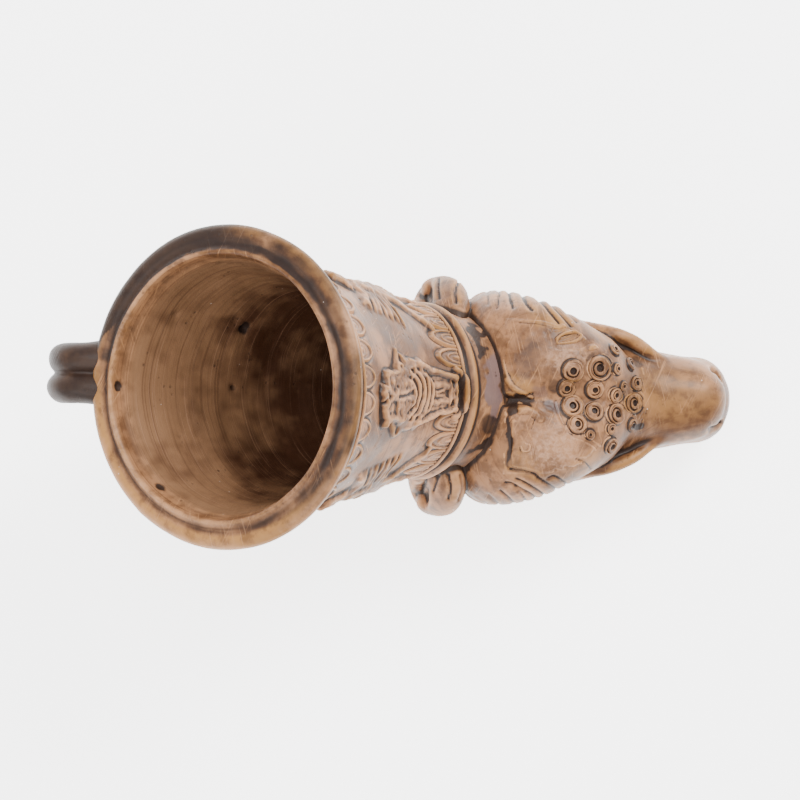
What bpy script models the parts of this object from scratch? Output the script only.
"""A ram's head rhyton: a drinking cup that narrows into a ram's head, one piece of fired clay.

The muzzle points along +X and the cup leans back over -X. The origin is on the underside of
the jaw, which is the flat that the vessel stands on.
"""

import bisect
import math

import bmesh
import bpy
from mathutils import Vector

MM = 0.001

# Cup. Its axis is an arc, and depths run down that arc from the rim.
CUP_LENGTH = 101.5 * MM
RIM_LEAN = math.radians(30)
NECK_LEAN = math.radians(52)
MOUTH_RADIUS = 50.2 * MM
LIP_WIDTH = 9.5 * MM
LIP_HEIGHT = 5 * MM
WALL = 5.5 * MM
SHOULDER_RADIUS = 46 * MM
NECK_RADIUS = 27.8 * MM
# Shares of the cup's length, and how far the wall has drawn in from shoulder to neck there
WALL_OUTLINE = (
    (0.00, 0.00), (0.20, 0.21), (0.40, 0.44), (0.60, 0.59),
    (0.75, 0.81), (0.90, 0.92), (1.09, 1.00), (1.25, 0.99),
)
# Shares of the cup's length, and how far the hand-thrown cup wanders to one side there
CUP_DRIFT = ((0.0, 0.006), (0.4, 0.010), (0.75, 0.018), (1.0, 0.013), (1.25, 0.006))
CUP_SIDES = 40
WALL_STEPS = 7
NECK_END = 1.18

# Mouldings and the two bands of eggs round the cup, by share of the cup's length
UPPER_BAND = (0.185, 0.27)
LOWER_BAND = (0.755, 0.875)
UPPER_EGGS = 32
LOWER_EGGS = 26
# The lower band stops on both sides of the seat at the front
LOWER_BAND_GAP = math.radians(12)
EGG_RISE = 1.3 * MM
FILLET_WIDTH = 3.2 * MM
FILLET_RISE = 0.9 * MM
FILLET_PLACE = 0.16
RING_PLACE = 0.935
RING_WIDTH = 6 * MM
RING_RISE = 1.4 * MM

# Hollow: down the cup at an even wall, then a chamber that bends level inside the head
HOLLOW_SIDES = 30
HOLLOW_OVERCUT = 6 * MM
HOLLOW_PLACES = (0.06, 0.2, 0.35, 0.5, 0.65, 0.8, 0.95, 1.08)
CHAMBER_RADIUS = 16 * MM
CHAMBER_LENGTH = 32 * MM
CHAMBER_STEPS = 6
CHAMBER_END_SHARE = 0.92

# Relief round the cup between the bands. Its figures are drawn in units, across and down.
RELIEF_UNIT = 1 * MM
RELIEF_RISE = 1.5 * MM
RELIEF_SINK = 1.5 * MM
RELIEF_PLACE = 0.53
SEATED_PAIR_TURN = math.radians(-2.5)
FORWARD_DANCER_TURN = math.radians(62)
BACKWARD_DANCER_TURN = math.radians(112)

# Ram's head. Its own proportions are shares of these three sizes.
HEAD_LENGTH = 117 * MM
HEAD_HEIGHT = 60 * MM
HEAD_WIDTH = 60 * MM
HEAD_BACK_X = -50 * MM
HEAD_SIDES = 28
JAW_NARROWING = 0.22
# Share of the length, top, bottom, half width, squareness
HEAD_SECTIONS = (
    (-0.08, 0.46, 0.26, 0.18, 2.0),
    (-0.03, 0.60, 0.10, 0.33, 2.1),
    (0.03, 0.74, 0.00, 0.41, 2.2),
    (0.11, 0.87, -0.04, 0.46, 2.3),
    (0.20, 0.95, -0.04, 0.485, 2.3),
    (0.32, 0.99, -0.04, 0.49, 2.2),
    (0.43, 0.98, -0.04, 0.47, 2.2),
    (0.53, 0.93, -0.04, 0.433, 2.2),
    (0.63, 0.84, -0.04, 0.365, 2.2),
    (0.72, 0.75, -0.04, 0.305, 2.2),
    (0.81, 0.675, -0.03, 0.272, 2.3),
    (0.89, 0.605, 0.02, 0.24, 2.4),
    (0.94, 0.55, 0.05, 0.212, 2.3),
    (0.975, 0.48, 0.09, 0.155, 2.2),
    (0.995, 0.41, 0.16, 0.075, 2.0),
)
HEAD_STEPS = 21
MUZZLE_STEPS = 5
MUZZLE_START = 0.9
NECK_SHARE = (0.09, 0.725)

# One horn: shares of head length, width and height, and radius as a share of the height
HORN_PATH = (
    (0.54, 0.170, 0.76, 0.200),
    (0.46, 0.250, 0.80, 0.225),
    (0.38, 0.335, 0.775, 0.232),
    (0.305, 0.385, 0.69, 0.222),
    (0.27, 0.410, 0.54, 0.205),
    (0.285, 0.430, 0.38, 0.175),
    (0.355, 0.440, 0.25, 0.143),
    (0.445, 0.420, 0.195, 0.115),
    (0.52, 0.375, 0.23, 0.085),
    (0.575, 0.345, 0.32, 0.056),
    (0.60, 0.335, 0.42, 0.025),
)
HORN_SIDES = 10
HORN_RIDGES = 11
HORN_RIDGE_DEPTH = 0.05

# One ear: a rolled leaf that hangs out from beside the neck and opens backwards
EAR_ROOT = (0.135, 0.40, 0.78)
EAR_TIP = (0.075, 0.635, 0.38)
EAR_WIDTH = 24 * MM
EAR_THICKNESS = 12 * MM
EAR_STEPS = 6

# Face
EYE_PLACE = (0.655, 0.315, 0.56)
EYE_SIZE = (6.5 * MM, 3.0 * MM, 4.6 * MM)
NOSTRIL_PLACE = (0.945, 0.165, 0.40)
NOSTRIL_SIZE = (6.5 * MM, 1.6 * MM, 5.0 * MM)
NOSTRIL_TURN = math.radians(-32)
MOUTH_DEPTH = 1.0 * MM
MOUTH_HEIGHT = 0.215
MOUTH_CORNER = 0.80
MOUTH_FRONT = 1.04
MOUTH_STEPS = 6

# Curls on the forehead
CURL_RADIUS = 3.3 * MM
CURL_PITCH = 7.2 * MM
CURL_RISE = 1.4 * MM
CURL_START = 0.475
CURL_COLUMNS = (3, 5, 4, 5, 2)
CURL_COLUMN_SPACING = 0.87

# Strap handle with two rolls, set a little to one side of the middle
HANDLE_WIDTH = 19.5 * MM
HANDLE_ROLL_RADIUS = 5.2 * MM
HANDLE_OFFSET = 4.6 * MM
HANDLE_TOP_DEPTH = 0.12
HANDLE_FOOT_DEPTH = 0.69
HANDLE_TOP_PULL = (-51 * MM, 21 * MM)
HANDLE_FOOT_PULL = (-70 * MM, -17 * MM)
HANDLE_ROOT = 2.5 * MM
HANDLE_STEPS = 15

CLAY_COLOUR = (0.33, 0.19, 0.10, 1.0)


def remove_scene_objects():
    for existing in list(bpy.data.objects):
        bpy.data.objects.remove(existing, do_unlink=True)


def clay_material():
    material = bpy.data.materials.new("fired_clay")
    material.use_nodes = True
    shader = material.node_tree.nodes["Principled BSDF"]
    shader.inputs["Base Color"].default_value = CLAY_COLOUR
    shader.inputs["Roughness"].default_value = 0.42
    shader.inputs["Metallic"].default_value = 0.0
    return material


def object_from(name, bodies):
    """One object from closed bodies, each a list of rings that are skinned and capped."""
    mesh = bpy.data.meshes.new(name)
    builder = bmesh.new()
    for rings in bodies:
        skin(builder, rings)
    bmesh.ops.recalc_face_normals(builder, faces=builder.faces)
    builder.to_mesh(mesh)
    builder.free()
    made = bpy.data.objects.new(name, mesh)
    bpy.context.collection.objects.link(made)
    return made


def skin(builder, rings):
    """Faces between rings of equal count, with a flat cap at each end."""
    rows = [[builder.verts.new(point) for point in ring] for ring in rings]
    for lower, upper in zip(rows, rows[1:]):
        for index in range(len(lower)):
            following = (index + 1) % len(lower)
            builder.faces.new((lower[index], lower[following], upper[following], upper[index]))
    for row in (rows[0], rows[-1]):
        builder.faces.new(row)


def combine(target, tool, operation, overlapping=False):
    """Join a shape to the target, or cut it away, with an exact Boolean."""
    tool.hide_render = True
    tool.display_type = 'WIRE'
    boolean = target.modifiers.new(tool.name, 'BOOLEAN')
    boolean.operation = operation
    boolean.solver = 'EXACT'
    boolean.use_self = overlapping
    boolean.object = tool


def smooth_between(stations, place):
    """Values at a place, on smooth curves through stations of (place, value, value, ...)."""
    places = [station[0] for station in stations]
    first = bisect.bisect_right(places, place) - 1
    first = max(0, min(len(places) - 2, first))
    gap = places[first + 1] - places[first]
    share = (place - places[first]) / gap
    values = []
    for column in range(1, len(stations[0])):
        start = stations[first][column]
        end = stations[first + 1][column]
        leave = slope_at(stations, first, column) * gap
        arrive = slope_at(stations, first + 1, column) * gap
        rise = end - start
        bend = leave + arrive - 2 * rise
        values.append(start + share * (leave + share * (rise - leave - bend + share * bend)))
    return values


def slope_at(stations, index, column):
    before = stations[max(0, index - 1)]
    after = stations[min(len(stations) - 1, index + 1)]
    return (after[column] - before[column]) / (after[0] - before[0])


def head_point(length_share, width_share, height_share):
    return Vector((
        HEAD_BACK_X + length_share * HEAD_LENGTH,
        width_share * HEAD_WIDTH,
        height_share * HEAD_HEIGHT,
    ))


def cup_frame(place):
    """Centre of the cup's axis at a share of its length below the rim, and the way to its front."""
    bend = (RIM_LEAN - NECK_LEAN) / CUP_LENGTH
    lean = NECK_LEAN + bend * CUP_LENGTH * (1 - place)
    run = Vector((math.cos(lean) - math.cos(NECK_LEAN), 0, math.sin(lean) - math.sin(NECK_LEAN)))
    centre = head_point(NECK_SHARE[0], 0, NECK_SHARE[1]) + run / bend
    centre.y = smooth_between(CUP_DRIFT, place)[0] * CUP_LENGTH
    return centre, Vector((math.cos(lean), 0, math.sin(lean)))


def wall_radius(place):
    drawn_in = smooth_between(WALL_OUTLINE, place)[0]
    return SHOULDER_RADIUS - drawn_in * (SHOULDER_RADIUS - NECK_RADIUS)


def cup_point(place, turn, radius):
    """A point on the cup, with turn measured round the axis from the front."""
    centre, front = cup_frame(place)
    side = Vector((0, 1, 0))
    return centre + radius * (math.cos(turn) * front + math.sin(turn) * side)


def cup_ring(place, radius, sides):
    centre, front = cup_frame(place)
    return round_ring(centre, front, radius, sides)


def lip_outline():
    """Place and radius down the rolled lip and the shoulder fillet under it."""
    roll = LIP_HEIGHT / CUP_LENGTH
    return [
        (0.0, MOUTH_RADIUS - 0.35 * LIP_WIDTH),
        (0.15 * roll, MOUTH_RADIUS - 0.08 * LIP_WIDTH),
        (0.5 * roll, MOUTH_RADIUS),
        (roll, MOUTH_RADIUS - 0.04 * LIP_WIDTH),
        (1.5 * roll, wall_radius(1.5 * roll)),
    ]


def moulding(place, width, rise):
    """Four rows of a raised fillet, square to the wall."""
    half = 0.5 * width / CUP_LENGTH
    return [
        (place - half, wall_radius(place - half)),
        (place - 0.6 * half, wall_radius(place) + rise),
        (place + 0.6 * half, wall_radius(place) + rise),
        (place + half, wall_radius(place + half)),
    ]


def cup_outline():
    rows = lip_outline()
    rows += moulding(FILLET_PLACE, FILLET_WIDTH, FILLET_RISE)
    first = UPPER_BAND[0]
    last = LOWER_BAND[1]
    rows += [(first + (last - first) * step / WALL_STEPS, None) for step in range(WALL_STEPS + 1)]
    rows += moulding(RING_PLACE, RING_WIDTH, RING_RISE)
    rows += [(RING_PLACE + 0.08, None), (RING_PLACE + 0.16, None), (NECK_END, None)]
    return [(place, wall_radius(place) if radius is None else radius) for place, radius in rows]


def make_cup():
    return object_from("rhyton", [[cup_ring(place, radius, CUP_SIDES) for place, radius in cup_outline()]])


def round_ring(middle, forward, radius, sides):
    """A circle of points, starting forward of its middle."""
    angles = [math.tau * index / sides for index in range(sides)]
    side = Vector((0, 1, 0))
    return [middle + radius * (math.cos(angle) * forward + math.sin(angle) * side) for angle in angles]


def make_hollow():
    """The drink's space, open at the mouth and closed with a round end inside the head."""
    opening = MOUTH_RADIUS - LIP_WIDTH
    rings = [cup_ring(place, opening, HOLLOW_SIDES) for place in (-HOLLOW_OVERCUT / CUP_LENGTH, 0.0)]
    for place in HOLLOW_PLACES:
        rings.append(cup_ring(place, min(opening, wall_radius(place) - WALL), HOLLOW_SIDES))
    last_place = HOLLOW_PLACES[-1]
    start, front = cup_frame(last_place)
    start_radius = wall_radius(last_place) - WALL
    lean = math.atan2(front.z, front.x)
    bend = (math.pi / 2 - lean) / CHAMBER_LENGTH
    for step in range(1, CHAMBER_STEPS + 1):
        share = step / CHAMBER_STEPS
        tilt = lean + bend * CHAMBER_LENGTH * share
        run = Vector((math.cos(lean) - math.cos(tilt), 0, math.sin(lean) - math.sin(tilt))) / bend
        closing = math.sqrt(1 - (CHAMBER_END_SHARE * share ** 3) ** 2)
        radius = (start_radius + (CHAMBER_RADIUS - start_radius) * share) * closing
        forward = Vector((math.cos(tilt), 0, math.sin(tilt)))
        rings.append(round_ring(start + run, forward, radius, HOLLOW_SIDES))
    return object_from("hollow", [rings])


def head_section(share):
    top, bottom, half_width, squareness = smooth_between(HEAD_SECTIONS, share)
    return top * HEAD_HEIGHT, bottom * HEAD_HEIGHT, half_width * HEAD_WIDTH, squareness


def head_ring(share):
    top, bottom, half_width, squareness = head_section(share)
    power = 2 / squareness
    ring = []
    for index in range(HEAD_SIDES):
        angle = math.tau * index / HEAD_SIDES
        up = math.copysign(abs(math.sin(angle)) ** power, math.sin(angle))
        across = math.copysign(abs(math.cos(angle)) ** power, math.cos(angle))
        across *= 1 - JAW_NARROWING * max(0, -up) ** 1.5
        ring.append(Vector((
            HEAD_BACK_X + share * HEAD_LENGTH,
            across * half_width,
            0.5 * (top + bottom) + up * 0.5 * (top - bottom),
        )))
    return ring


def head_surface(share, width):
    """Point on top of the head at a share of its length and a distance from the middle."""
    top, bottom, half_width, squareness = head_section(share)
    fall = (1 - abs(width / half_width) ** squareness) ** (1 / squareness)
    height = 0.5 * (top + bottom) + fall * 0.5 * (top - bottom)
    return Vector((HEAD_BACK_X + share * HEAD_LENGTH, width, height))


def make_head():
    first = HEAD_SECTIONS[0][0]
    last = HEAD_SECTIONS[-1][0]
    shares = [first + (MUZZLE_START - first) * step / (HEAD_STEPS - MUZZLE_STEPS)
              for step in range(HEAD_STEPS - MUZZLE_STEPS + 1)]
    shares += [MUZZLE_START + (last - MUZZLE_START) * math.sin(math.pi / 2 * step / MUZZLE_STEPS)
               for step in range(1, MUZZLE_STEPS + 1)]
    return object_from("head", [[head_ring(share) for share in shares]])


def swept_rings(path, radii, sides):
    """Round rings square to a path, kept from twisting."""
    rings = []
    side = Vector((0, 1, 0))
    for index, centre in enumerate(path):
        ahead = (path[min(len(path) - 1, index + 1)] - path[max(0, index - 1)]).normalized()
        side = (side - side.dot(ahead) * ahead).normalized()
        other = ahead.cross(side)
        rings.append([
            centre + radii[index] * (math.cos(angle) * side + math.sin(angle) * other)
            for angle in (math.tau * corner / sides for corner in range(sides))
        ])
    return rings


def make_horn(name, side):
    """A horn that leaves the forehead, curls back and down round the ear and comes forward again."""
    last = len(HORN_PATH) - 1
    stations = [(index / last, *values) for index, values in enumerate(HORN_PATH)]
    rows = 2 * HORN_RIDGES + 1
    path = []
    radii = []
    for row in range(rows):
        along, across, up, radius = smooth_between(stations, row / (rows - 1))
        path.append(head_point(along, side * across, up))
        ridge = 1 + HORN_RIDGE_DEPTH * (1 if row % 2 else -1)
        radii.append(radius * HEAD_HEIGHT * ridge)
    return object_from(name, [swept_rings(path, radii, HORN_SIDES)])


def make_ear(name, side):
    """A leaf rolled into a scoop, widest near its middle, with its hollow to the back."""
    root = head_point(EAR_ROOT[0], side * EAR_ROOT[1], EAR_ROOT[2])
    tip = head_point(EAR_TIP[0], side * EAR_TIP[1], EAR_TIP[2])
    along = (tip - root).normalized()
    opening = Vector((-0.75, 0.65 * side, 0))
    opening = (opening - opening.dot(along) * along).normalized()
    broad = along.cross(opening)
    rings = []
    for step in range(EAR_STEPS + 1):
        share = step / EAR_STEPS
        swell = math.sin(math.pi * (0.22 + 0.72 * share)) ** 0.8
        half = 0.5 * EAR_WIDTH * swell
        thick = 0.5 * EAR_THICKNESS * swell
        centre = root + share * (tip - root)
        back = [(math.cos(angle) * half, -math.sin(angle) * thick)
                for angle in (math.pi * corner / 5 for corner in range(6))]
        dent = [(-0.66 * half, 0.8 * thick), (-0.3 * half, -0.2 * thick),
                (0.3 * half, -0.2 * thick), (0.66 * half, 0.8 * thick)]
        rings.append([centre + wide * broad + out * opening for wide, out in back + dent])
    return object_from(name, [rings])


def dome_rings(centre, normal, along, half_length, half_width, rise, sink, sides=6,
               levels=((1.15, -1.0), (0.55, 1.0))):
    """A low lump with sloping sides that starts below a surface and rises above it."""
    across = normal.cross(along).normalized()
    rings = []
    for share, level in levels:
        height = level * (rise if level > 0 else sink)
        rings.append([
            centre + height * normal
            + share * (math.cos(angle) * half_length * along + math.sin(angle) * half_width * across)
            for angle in (math.tau * (corner + 0.5) / sides for corner in range(sides))
        ])
    return rings


def wall_frame(place, turn):
    """Point on the cup's wall, with the way out of the wall and the way down it."""
    point = cup_point(place, turn, wall_radius(place))
    step = 0.01
    down = (cup_point(place + step, turn, wall_radius(place + step)) - point).normalized()
    round_way = (cup_point(place, turn + step, wall_radius(place)) - point).normalized()
    outward = round_way.cross(down).normalized()
    if outward.dot(point - cup_frame(place)[0]) < 0:
        outward.negate()
    return point, outward, down


def make_eggs(name, band, count, front_gap=0.0):
    """Eggs at an even pitch round the cup, left out within a gap on both sides of the front."""
    bodies = []
    middle = 0.5 * (band[0] + band[1])
    half_length = 0.5 * (band[1] - band[0]) * CUP_LENGTH
    half_width = 0.36 * math.tau * wall_radius(middle) / count
    for index in range(count):
        turn = math.tau * (index + 0.5) / count
        if min(turn, math.tau - turn) < front_gap:
            continue
        point, outward, down = wall_frame(middle, turn)
        bodies.append(dome_rings(point, outward, down, half_length, half_width, EGG_RISE, EGG_RISE, 6))
    return object_from(name, bodies)


def relief_point(across, down, turn, height):
    """Point over the wall, from distances across and down the picture round a given turn."""
    place = RELIEF_PLACE + down / CUP_LENGTH
    radius = wall_radius(place)
    angle = turn + across / radius
    return cup_point(place, angle, radius + height)


def stroke_rings(points, turn, width):
    """A bar along points of the relief, with a roof-shaped section."""
    rings = []
    for index, (across, down) in enumerate(points):
        before = points[max(0, index - 1)]
        after = points[min(len(points) - 1, index + 1)]
        way = Vector((after[0] - before[0], after[1] - before[1])).normalized()
        ring = []
        for offset, height in ((0.75, -RELIEF_SINK), (0.0, RELIEF_RISE), (-0.75, -RELIEF_SINK)):
            ring.append(relief_point(
                across - way.y * offset * width, down + way.x * offset * width, turn, height,
            ))
        rings.append(ring)
    return rings


def relief_dome(across, down, turn, half_width, half_height):
    """A low lump on the relief, from a place and half sizes in units."""
    place = RELIEF_PLACE + down * RELIEF_UNIT / CUP_LENGTH
    angle = turn + across * RELIEF_UNIT / wall_radius(place)
    point, outward, along = wall_frame(place, angle)
    return dome_rings(
        point, outward, along, half_height * RELIEF_UNIT, half_width * RELIEF_UNIT, RELIEF_RISE, RELIEF_SINK,
    )


def in_units(points, facing=1):
    """Points in the relief's own units made lengths, turned round where the figure faces back."""
    return [(facing * across * RELIEF_UNIT, down * RELIEF_UNIT) for across, down in points]


def seated_pair(turn):
    """Two draped figures side by side on one seat that narrows to a footstool and a base."""
    bodies = [relief_dome(0, 4.5, turn, 8.8, 6.5)]
    limbs = [
        ([(5.5, -10.5), (10.0, -8.0), (13.5, -4.0)], 3.2),
        ([(9.5, 3.0), (6.6, 18.0), (4.2, 35.0)], 2.2),
        ([(2.6, 13.5), (2.4, 19.0), (1.8, 25.0)], 2.2),
    ]
    for side in (-1, 1):
        bodies.append(relief_dome(side * 4.0, -15.0, turn, 3.2, 3.8))
        bodies.append(relief_dome(side * 4.6, -6.2, turn, 4.6, 6.2))
        for points, width in limbs:
            bodies.append(stroke_rings(in_units(points, side), turn, width * RELIEF_UNIT))
    rails = [
        ([(-7.0, 10.5), (0.0, 13.0), (7.0, 10.5)], 2.2),
        ([(-4.8, 28.0), (0.0, 28.3), (4.8, 28.0)], 1.8),
        ([(-4.4, 32.4), (0.0, 32.8), (4.4, 32.4)], 1.8),
        ([(-7.5, 34.5), (0.0, 38.2), (7.5, 34.5)], 2.2),
    ]
    for points, width in rails:
        bodies.append(stroke_rings(in_units(points), turn, width * RELIEF_UNIT))
    return bodies


def dancer(turn, facing):
    """A figure stepping sideways, one arm up, with drapery flying out behind."""
    bodies = [
        relief_dome(facing * 1.5, -17.0, turn, 3.0, 3.6),
        relief_dome(facing * 0.5, -8.0, turn, 4.8, 7.0),
        relief_dome(-facing * 0.8, 3.5, turn, 5.6, 7.2),
    ]
    limbs = [
        [(3.5, -10.5), (8.5, -12.5), (10.5, -18.5)],
        [(-3.0, -10.0), (-8.5, -9.0), (-12.0, -13.5)],
        [(2.0, 8.0), (5.8, 18.0), (4.8, 31.0)],
        [(-3.5, 8.0), (-6.5, 16.0), (-10.5, 25.0)],
        [(-4.5, -4.0), (-9.5, -2.0), (-14.0, -6.0)],
        [(-4.5, 2.0), (-9.0, 5.5), (-13.0, 3.5)],
    ]
    limb_width = 2.8 * RELIEF_UNIT
    for limb in limbs:
        bodies.append(stroke_rings(in_units(limb, facing), turn, limb_width))
    return bodies


def make_relief():
    bodies = seated_pair(SEATED_PAIR_TURN)
    for side in (-1, 1):
        bodies += dancer(side * FORWARD_DANCER_TURN, side)
        bodies += dancer(side * BACKWARD_DANCER_TURN, -side)
    return object_from("relief", bodies)


def make_curls():
    """Rows of knobs across the forehead, each row set off from the one before."""
    bodies = []
    for column, count in enumerate(CURL_COLUMNS):
        share = CURL_START + column * CURL_COLUMN_SPACING * CURL_PITCH / HEAD_LENGTH
        for place in range(count):
            width = (place - 0.5 * (count - 1)) * CURL_PITCH
            point = head_surface(share, width)
            ahead = (head_surface(share + 0.01, width) - point).normalized()
            across = (head_surface(share, width + 0.1 * MM) - point).normalized()
            normal = ahead.cross(across).normalized()
            bodies.append(dome_rings(
                point, normal, ahead, CURL_RADIUS, CURL_RADIUS, CURL_RISE, CURL_RISE,
                levels=((1.0, -1.0), (0.6, 1.0)),
            ))
    return object_from("curls", bodies)


def make_eyes():
    bodies = []
    for side in (-1, 1):
        centre = head_point(EYE_PLACE[0], side * EYE_PLACE[1], EYE_PLACE[2])
        bodies.append(dome_rings(
            centre, Vector((0.25, side, 0.25)).normalized(), Vector((1, -0.25 * side, 0)).normalized(),
            EYE_SIZE[0], EYE_SIZE[2], EYE_SIZE[1], EYE_SIZE[1], 10,
            ((1.0, -1.0), (0.85, 0.5), (0.45, 1.0)),
        ))
    return object_from("eyes", bodies)


def make_nostrils():
    """Slits that slant in towards the mouth on each side of the muzzle."""
    bodies = []
    for side in (-1, 1):
        centre = head_point(NOSTRIL_PLACE[0], side * NOSTRIL_PLACE[1], NOSTRIL_PLACE[2])
        turn = side * NOSTRIL_TURN
        along = Vector((math.cos(turn), math.sin(turn), 0))
        across = Vector((-math.sin(turn), math.cos(turn), 0))
        rings = []
        for height, narrow in ((-1, 0.6), (1, 1.0)):
            rings.append([
                centre + Vector((0, 0, height * NOSTRIL_SIZE[2]))
                + narrow * (reach * 0.5 * NOSTRIL_SIZE[0] * along + wide * 0.5 * NOSTRIL_SIZE[1] * across)
                for reach, wide in ((1, 0), (0.4, 1), (-0.4, 1), (-1, 0), (-0.4, -1), (0.4, -1))
            ])
        bodies.append(rings)
    return object_from("nostrils", bodies)


def make_mouth():
    """A groove with a wedge section along both sides of the muzzle, between the lips."""
    outer = 0.5 * HEAD_WIDTH
    level = MOUTH_HEIGHT * HEAD_HEIGHT
    bodies = []
    for side in (-1, 1):
        rows = []
        for step in range(MOUTH_STEPS + 1):
            share = MOUTH_CORNER + (MOUTH_FRONT - MOUTH_CORNER) * step / MOUTH_STEPS
            skin_width = head_section(min(HEAD_SECTIONS[-1][0], share))[2]
            along = HEAD_BACK_X + share * HEAD_LENGTH
            spread = 0.7 * MOUTH_DEPTH * outer / skin_width
            rows.append([
                Vector((along, side * (skin_width - MOUTH_DEPTH), level)),
                Vector((along, side * outer, level + spread)),
                Vector((along, side * outer, level - spread)),
            ])
        bodies.append(rows)
    return object_from("mouth_line", bodies)


def handle_path():
    """Middle of the strap: out from under the lip, down in a bow, and back to the wall."""
    top_centre, top_front = cup_frame(HANDLE_TOP_DEPTH)
    foot_centre, foot_front = cup_frame(HANDLE_FOOT_DEPTH)
    top = top_centre - (wall_radius(HANDLE_TOP_DEPTH) - HANDLE_ROOT) * top_front
    foot = foot_centre - (wall_radius(HANDLE_FOOT_DEPTH) - HANDLE_ROOT) * foot_front
    top_pull = top + Vector((HANDLE_TOP_PULL[0], 0, HANDLE_TOP_PULL[1]))
    foot_pull = foot + Vector((HANDLE_FOOT_PULL[0], 0, HANDLE_FOOT_PULL[1]))
    points = []
    for step in range(HANDLE_STEPS + 1):
        share = step / HANDLE_STEPS
        rest = 1 - share
        points.append(
            rest ** 3 * top + 3 * rest ** 2 * share * top_pull
            + 3 * rest * share ** 2 * foot_pull + share ** 3 * foot
        )
    return points


def handle_section():
    """Outline of two rolls side by side, as distances across and out."""
    apart = 0.5 * HANDLE_WIDTH - HANDLE_ROLL_RADIUS
    opening = math.acos(-apart / HANDLE_ROLL_RADIUS)
    outline = []
    for side in (1, -1):
        for corner in range(6):
            angle = -opening + 2 * opening * corner / 6
            outline.append((
                side * (apart + HANDLE_ROLL_RADIUS * math.cos(angle)),
                side * HANDLE_ROLL_RADIUS * math.sin(angle),
            ))
    return outline


def make_handle():
    path = handle_path()
    rings = []
    for index, centre in enumerate(path):
        ahead = (path[min(len(path) - 1, index + 1)] - path[max(0, index - 1)]).normalized()
        outward = ahead.cross(Vector((0, 1, 0)))
        rings.append([
            centre + Vector((0, HANDLE_OFFSET + across, 0)) + out * outward
            for across, out in handle_section()
        ])
    return object_from("handle", [rings])


def make_ground():
    """Everything below the standing face."""
    reach = HEAD_LENGTH
    rings = []
    for height in (-0.5 * HEAD_HEIGHT, 0.0):
        rings.append([Vector((x * reach, y * HEAD_WIDTH, height))
                      for x, y in ((-1, -1), (1, -1), (1, 1), (-1, 1))])
    return object_from("ground", [rings])


def main():
    remove_scene_objects()
    rhyton = make_cup()
    rhyton.data.materials.append(clay_material())
    combine(rhyton, make_head(), 'UNION')
    for side, word in ((1, "left"), (-1, "right")):
        combine(rhyton, make_horn(f"horn_{word}", side), 'UNION')
        combine(rhyton, make_ear(f"ear_{word}", side), 'UNION')
    combine(rhyton, make_handle(), 'UNION')
    combine(rhyton, make_eyes(), 'UNION')
    combine(rhyton, make_curls(), 'UNION')
    combine(rhyton, make_eggs("upper_eggs", UPPER_BAND, UPPER_EGGS), 'UNION')
    combine(rhyton, make_eggs("lower_eggs", LOWER_BAND, LOWER_EGGS, LOWER_BAND_GAP), 'UNION')
    combine(rhyton, make_relief(), 'UNION', overlapping=True)
    combine(rhyton, make_nostrils(), 'DIFFERENCE')
    combine(rhyton, make_mouth(), 'DIFFERENCE')
    combine(rhyton, make_hollow(), 'DIFFERENCE')
    combine(rhyton, make_ground(), 'DIFFERENCE')
    rhyton.data.shade_smooth()
    rhyton.data.set_sharp_from_angle(angle=math.radians(35))


main()
